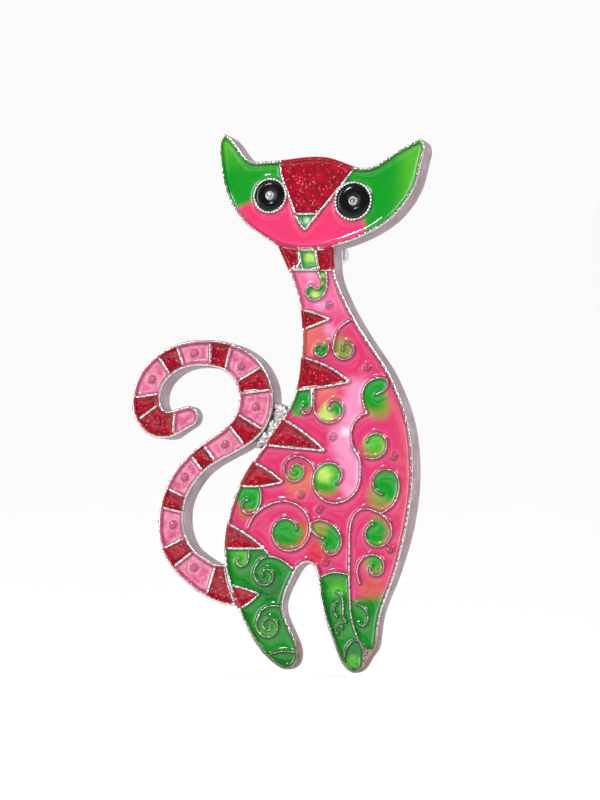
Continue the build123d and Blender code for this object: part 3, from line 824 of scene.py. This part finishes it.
# %% [markdown]
# ## Enamel on the raised lines
# Enamel wets the metal, so a thin film of it lies on the flanks of every line and over the small posts, and
# only the ridge stays bright. The reds are filled so high that they run over the outer rim, and so is the
# pink under the chin. The film is a colour on the metal: each point of the casting takes the colour of the
# nearest enamel, and how well it is covered falls with the distance. The film's colour is darkened, as
# painted shade on the flanks.
# %% Colour the flanks
FILM_FULL, FILM_END = 0.075, 0.175
RUN_OVER_DROP = 0.11
FILM_SHADE = 0.72
CHIN_X, CHIN_LOW, CHIN_BEND, CHIN_HALF = -0.7, 17.28, 0.044, 4.3
RIM_REACH = 0.46
RIM_EDGE = 0.08
CHIN_SPARE = 0.1
POST_COVER = 0.8
RIM_FULL, RIM_END = 0.13, 0.27
WIDE_FULL, WIDE_END = 0.35, 0.5
SHALLOW = LINE_FOOT - 0.3


def paint_of(obj):
    layer = obj.data.color_attributes["paint"]
    flat = np.empty(len(layer.data) * 4)
    layer.data.foreach_get("color", flat)
    return flat.reshape(-1, 4)[:, :3]


def runs_over(obj):
    """Whether this enamel is filled so high that it runs over the outer rim."""
    node = obj.name.removesuffix("_skin")
    return slots[node] == "enamel_red" and not node.startswith("tail")


enamel_points = np.vstack([places(skin) for skin in skins])
enamel_paint = np.vstack([paint_of(skin) for skin in skins])
enamel_wide = np.concatenate([np.full(len(skin.data.vertices), runs_over(skin)) for skin in skins])
enamel_tree = tree_of(enamel_points)


def lay_film(obj, posts):
    """Writes the film's colour and cover, and lowers the rim where the enamel runs over it."""
    heights = np.array([-v.co.y / MM for v in obj.data.vertices])
    at = places(obj)
    nearest = [enamel_tree.find((x, z, 0)) for x, z in at]
    index = np.array([found[1] for found in nearest])
    gap = np.array([found[2] for found in nearest])
    outline = at[(gap > RIM_REACH - RIM_EDGE) & (heights > SHALLOW)]
    outline_tree = tree_of(outline)
    from_outline = np.array([outline_tree.find((x, z, 0))[2] for x, z in at])
    from_post = np.min([np.hypot(*(at - post).T) for post in posts], axis=0)
    jaw = CHIN_LOW + CHIN_BEND * (at[:, 0] - CHIN_X) ** 2
    above_jaw = at[:, 1] - jaw
    chin = (np.abs(at[:, 0] - CHIN_X) < CHIN_HALF) & (above_jaw > 0) & (above_jaw < RIM_REACH + CHIN_SPARE)
    wide = ((enamel_wide[index] > 0) & (from_outline < RIM_REACH)) | chin
    at_rim = from_outline < RIM_REACH
    full = np.where(wide, WIDE_FULL, np.where(at_rim, RIM_FULL, FILM_FULL))
    end = np.where(wide, WIDE_END, np.where(at_rim, RIM_END, FILM_END))
    cover = smooth_step((end - gap) / (end - full))
    cover = np.maximum(cover, POST_COVER * (from_post < POST_WIDTH / 2))
    cover *= heights > SHALLOW
    for i in np.flatnonzero(wide & (heights > LINE_FLAT - RUN_OVER_DROP)):
        obj.data.vertices[i].co.y = -(LINE_FLAT - RUN_OVER_DROP) * MM
    layer = obj.data.color_attributes.new("film", "FLOAT_COLOR", "POINT")
    # The film's colour is darkened here, as painted shade on the flanks of the lines.
    layer.data.foreach_set("color", np.hstack([enamel_paint[index] * FILM_SHADE, cover[:, None]]).ravel())
    print(obj.name, "points", len(at), "under enamel", int((cover > 0.5).sum()))


lay_film(cat, cat_posts)
lay_film(tail, tail_posts)
show(cat, "cat_casting", silver)
show(tail, "tail_casting", silver)

# %% [markdown]
# ## Eyes
# Each eye is ringed with small silver grains, and its pupil is a turned cap: a ring, a groove and a round
# middle. One grain is modelled and copied round the ring. The cap is a disc, inset and extruded in turn.
# %% Grains and pupils
GRAINS = 34
GRAIN_R = 0.17
GRAIN_GAP = 0.15
PUPIL_R = 0.52
PUPIL_DEPTH = 0.2
PUPIL_STEPS = ((0, 0.24), (0.06, 0.05), (0.1, 0), (0.06, -0.1), (0.06, 0), (0.05, 0.12), (0.06, 0.04))


def join(objects, name):
    deselect()
    for obj in objects:
        obj.select_set(True)
    bpy.context.view_layer.objects.active = objects[0]
    bpy.ops.object.join()
    joined = bpy.context.object
    joined.name = name
    bpy.ops.object.transform_apply(location=True, rotation=True, scale=True)
    return joined


def grain_ring(name, centre, ring_r):
    deselect()
    bpy.ops.mesh.primitive_ico_sphere_add(subdivisions=2, radius=GRAIN_R * MM)
    grain = bpy.context.object
    bpy.ops.object.shade_smooth()
    copies = []
    for i in range(GRAINS):
        angle = 2 * math.pi * i / GRAINS
        copy = grain if i == 0 else grain.copy()
        if i:
            copy.data = grain.data.copy()
            bpy.context.scene.collection.objects.link(copy)
        size = 1 + 0.12 * math.sin(5 * angle + centre.x)
        copy.scale = (size, size, size)
        out = Vector((math.cos(angle), 0, math.sin(angle))) * ring_r
        copy.location = Vector((centre.x, -(LINE_FLAT - 0.05), centre.z)) * MM + out * MM
        copies.append(copy)
    return join(copies, name)


def pupil_cap(name, centre, r):
    """A cap that faces -Y: rim, groove and a round middle."""
    deselect()
    place = Vector((centre.x, -(LINE_FLAT - PUPIL_DEPTH), centre.z)) * MM
    bpy.ops.mesh.primitive_circle_add(
        vertices=32, radius=r * MM, fill_type="NGON", rotation=(math.pi / 2, 0, 0), location=place,
    )
    cap = bpy.context.object
    cap.name = name
    bpy.ops.object.transform_apply(location=True, rotation=True, scale=True)
    bpy.ops.object.mode_set(mode="EDIT")
    bpy.ops.mesh.select_all(action="SELECT")
    for inset, rise in PUPIL_STEPS:
        if inset:
            bpy.ops.mesh.inset(thickness=inset * MM)
        if rise:
            bpy.ops.mesh.extrude_region_move(TRANSFORM_OT_translate={"value": (0, -rise * MM, 0)})
    bpy.ops.mesh.select_all(action="SELECT")
    bpy.ops.mesh.normals_make_consistent(inside=False)
    bpy.ops.object.mode_set(mode="OBJECT")
    bpy.ops.object.shade_smooth_by_angle(angle=math.radians(60))
    return cap


def turned_silver(name, size, dark, light, metallic, roughness, strength):
    """Silver whose tone wanders between dark and light in lumps of size millimetres."""
    recipe = Recipe(name)
    fine = recipe.noise(size, 2)
    tint = recipe.mix(fine.ramp(0.35, 0.65), (*dark, 1), (*light, 1))
    return recipe.finish(Base_Color=tint, Metallic=metallic, Roughness=roughness + fine * 0.1,
                         Normal=recipe.bump(fine, 0.01, strength))


bright = turned_silver("bright silver", 0.15, colour(206, 200, 200), colour(250, 248, 246), 1.0, 0.1, 0.5)
pupil = turned_silver("pupil silver", 0.2, colour(176, 170, 174), colour(236, 234, 236), 0.45, 0.16, 0.4)
for side in ("left", "right"):
    low, high = (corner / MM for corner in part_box(f"eye_enamel_{side}"))
    centre, eye_r = (low + high) / 2, (high.x - low.x) / 2
    ring = grain_ring(f"eye_grains_{side}", centre, eye_r + GRAIN_GAP)
    cap = pupil_cap(f"pupil_{side}", centre, PUPIL_R)
    for piece, metal in ((ring, bright), (cap, pupil)):
        piece.data.materials.append(metal)
        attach(piece, nodes["cat_casting"]["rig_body"])
    print(ring.name, "triangles", len(ring.data.polygons), cap.name, "faces", len(cap.data.polygons))

# %% [markdown]
# ## Light
# Small glossy things are best shown in a white tent: a pale bowl all round, soft lights on every side, and
# a small lamp for the sparkle. Gloss would reflect the white and look milky, so two dark cards stand where
# it is reflected from.
# %% Stage
FLOOR_R = 0.55
CURVE_R = 0.35
WALL_TOP = 1.2
FLOOR_GAP = 0.5 * MM


def pale_bowl():
    """A round floor that curves up into a wall, further out than any view is taken from."""
    floor_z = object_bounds()[0].z - FLOOR_GAP
    turns = np.radians(range(10, 91, 10))
    outline = [(FLOOR_R, 0.0)]
    outline += [(FLOOR_R + CURVE_R * math.sin(a), CURVE_R - CURVE_R * math.cos(a)) for a in turns]
    outline += [(FLOOR_R + CURVE_R, WALL_TOP)]
    deselect()
    bpy.ops.mesh.primitive_circle_add(
        vertices=96, radius=FLOOR_R, fill_type="TRIFAN", location=(0, 0, floor_z),
    )
    bowl = bpy.context.object
    bpy.ops.object.mode_set(mode="EDIT")
    bpy.ops.mesh.select_all(action="DESELECT")
    bpy.ops.mesh.select_mode(type="EDGE")
    bpy.ops.mesh.select_non_manifold()
    for (r, z), (next_r, next_z) in zip(outline, outline[1:]):
        bpy.ops.mesh.extrude_edges_move(TRANSFORM_OT_translate={"value": (0, 0, next_z - z)})
        bpy.ops.transform.resize(value=(next_r / r, next_r / r, 1))
    bpy.ops.object.mode_set(mode="OBJECT")
    bpy.ops.object.shade_smooth()
    bowl.name = "pale_bowl"
    paper = Recipe("pale paper")
    shade = paper.noise(40, 2) * 0.2
    bowl.data.materials.append(paper.finish(
        Base_Color=paper.mix(shade, (0.3, 0.3, 0.3, 1), (0.27, 0.27, 0.27, 1)), Roughness=0.95,
        Emission_Color=paper.mix(shade, (1, 1, 1, 1), (0.98, 0.98, 0.98, 1)), Emission_Strength=0.67))
    bowl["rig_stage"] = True


def soft_light(name, place, aim, size, watts):
    deselect()
    bpy.ops.object.light_add(type="AREA", location=place)
    light = bpy.context.object
    light.name = name
    light.data.shape = "RECTANGLE"
    light.data.size, light.data.size_y, light.data.energy = *size, watts
    light.rotation_euler = (Vector(aim) - Vector(place)).to_track_quat("-Z", "Y").to_euler()


def dark_card(name, place, size, tilt):
    """A dark card for gloss to reflect: no view shows it, and it throws no shadow."""
    deselect()
    bpy.ops.mesh.primitive_plane_add(size=1, rotation=(tilt, 0, 0), location=place)
    card = bpy.context.object
    card.name = name
    card.scale = (*size, 1)
    bpy.ops.object.transform_apply(location=True, rotation=True, scale=True)
    card.visible_camera = card.visible_shadow = False
    felt = Recipe("dark felt")
    card.data.materials.append(felt.finish(
        Base_Color=felt.mix(felt.noise(30, 2), (0.03, 0.03, 0.035, 1), (0.05, 0.05, 0.05, 1)), Roughness=0.9))
    card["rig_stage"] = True
    return card


pale_bowl()
dark_card("dark_card_wall", (-0.1, -0.7, 0.26), (1.3, 0.6), math.pi / 2)
floor_card = dark_card("dark_card_floor", (-0.1, -0.45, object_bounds()[0].z + FLOOR_GAP), (1.3, 0.5), 0)
floor_card.visible_diffuse = False
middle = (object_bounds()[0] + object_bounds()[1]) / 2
soft_light("key", (0.22, -0.36, 0.34), middle, (0.19, 0.19), 1.6)
soft_light("fill", (-0.42, -0.36, 0.12), middle, (0.07, 0.5), 0.7)
soft_light("glint", (-0.2, -0.45, 0.22), middle, (0.035, 0.035), 0.22)
soft_light("back_left", (-0.35, 0.45, 0.35), middle, (0.25, 0.25), 0.45)
soft_light("back_right", (0.45, 0.35, 0.1), middle, (0.2, 0.3), 0.4)
world = bpy.data.worlds.new("studio")
bpy.context.scene.world = world
world.use_nodes = True
sky = world.node_tree.nodes["Background"].inputs
sky["Color"].default_value, sky["Strength"].default_value = (1, 1, 1, 1), 0.6

# %% [markdown]
# ## Camera
# The camera looks a little from the right and from below, so that one wall of the casting shows. A long
# lens keeps the lines of such a small object straight.
# %% Camera
AZIMUTH, ELEVATION, DISTANCE = math.radians(19), math.radians(-4.4), 330 * MM
AIM = Vector((-1.95 * MM, -LINE_FLAT * MM, 0))
flat = math.cos(ELEVATION)
back = Vector((math.sin(AZIMUTH) * flat, -math.cos(AZIMUTH) * flat, math.sin(ELEVATION)))
bpy.ops.object.camera_add(location=AIM + back * DISTANCE)
camera = bpy.context.object
camera.rotation_euler = (-back).to_track_quat("-Z", "Y").to_euler()
camera.data.sensor_width, camera.data.lens = 36, 129.6
camera.data.clip_start, camera.data.clip_end = 0.01, 10
bpy.context.scene.camera = camera
bpy.context.scene.view_settings.view_transform = "Standard"
print("camera in mm", [round(value / MM, 1) for value in camera.location])
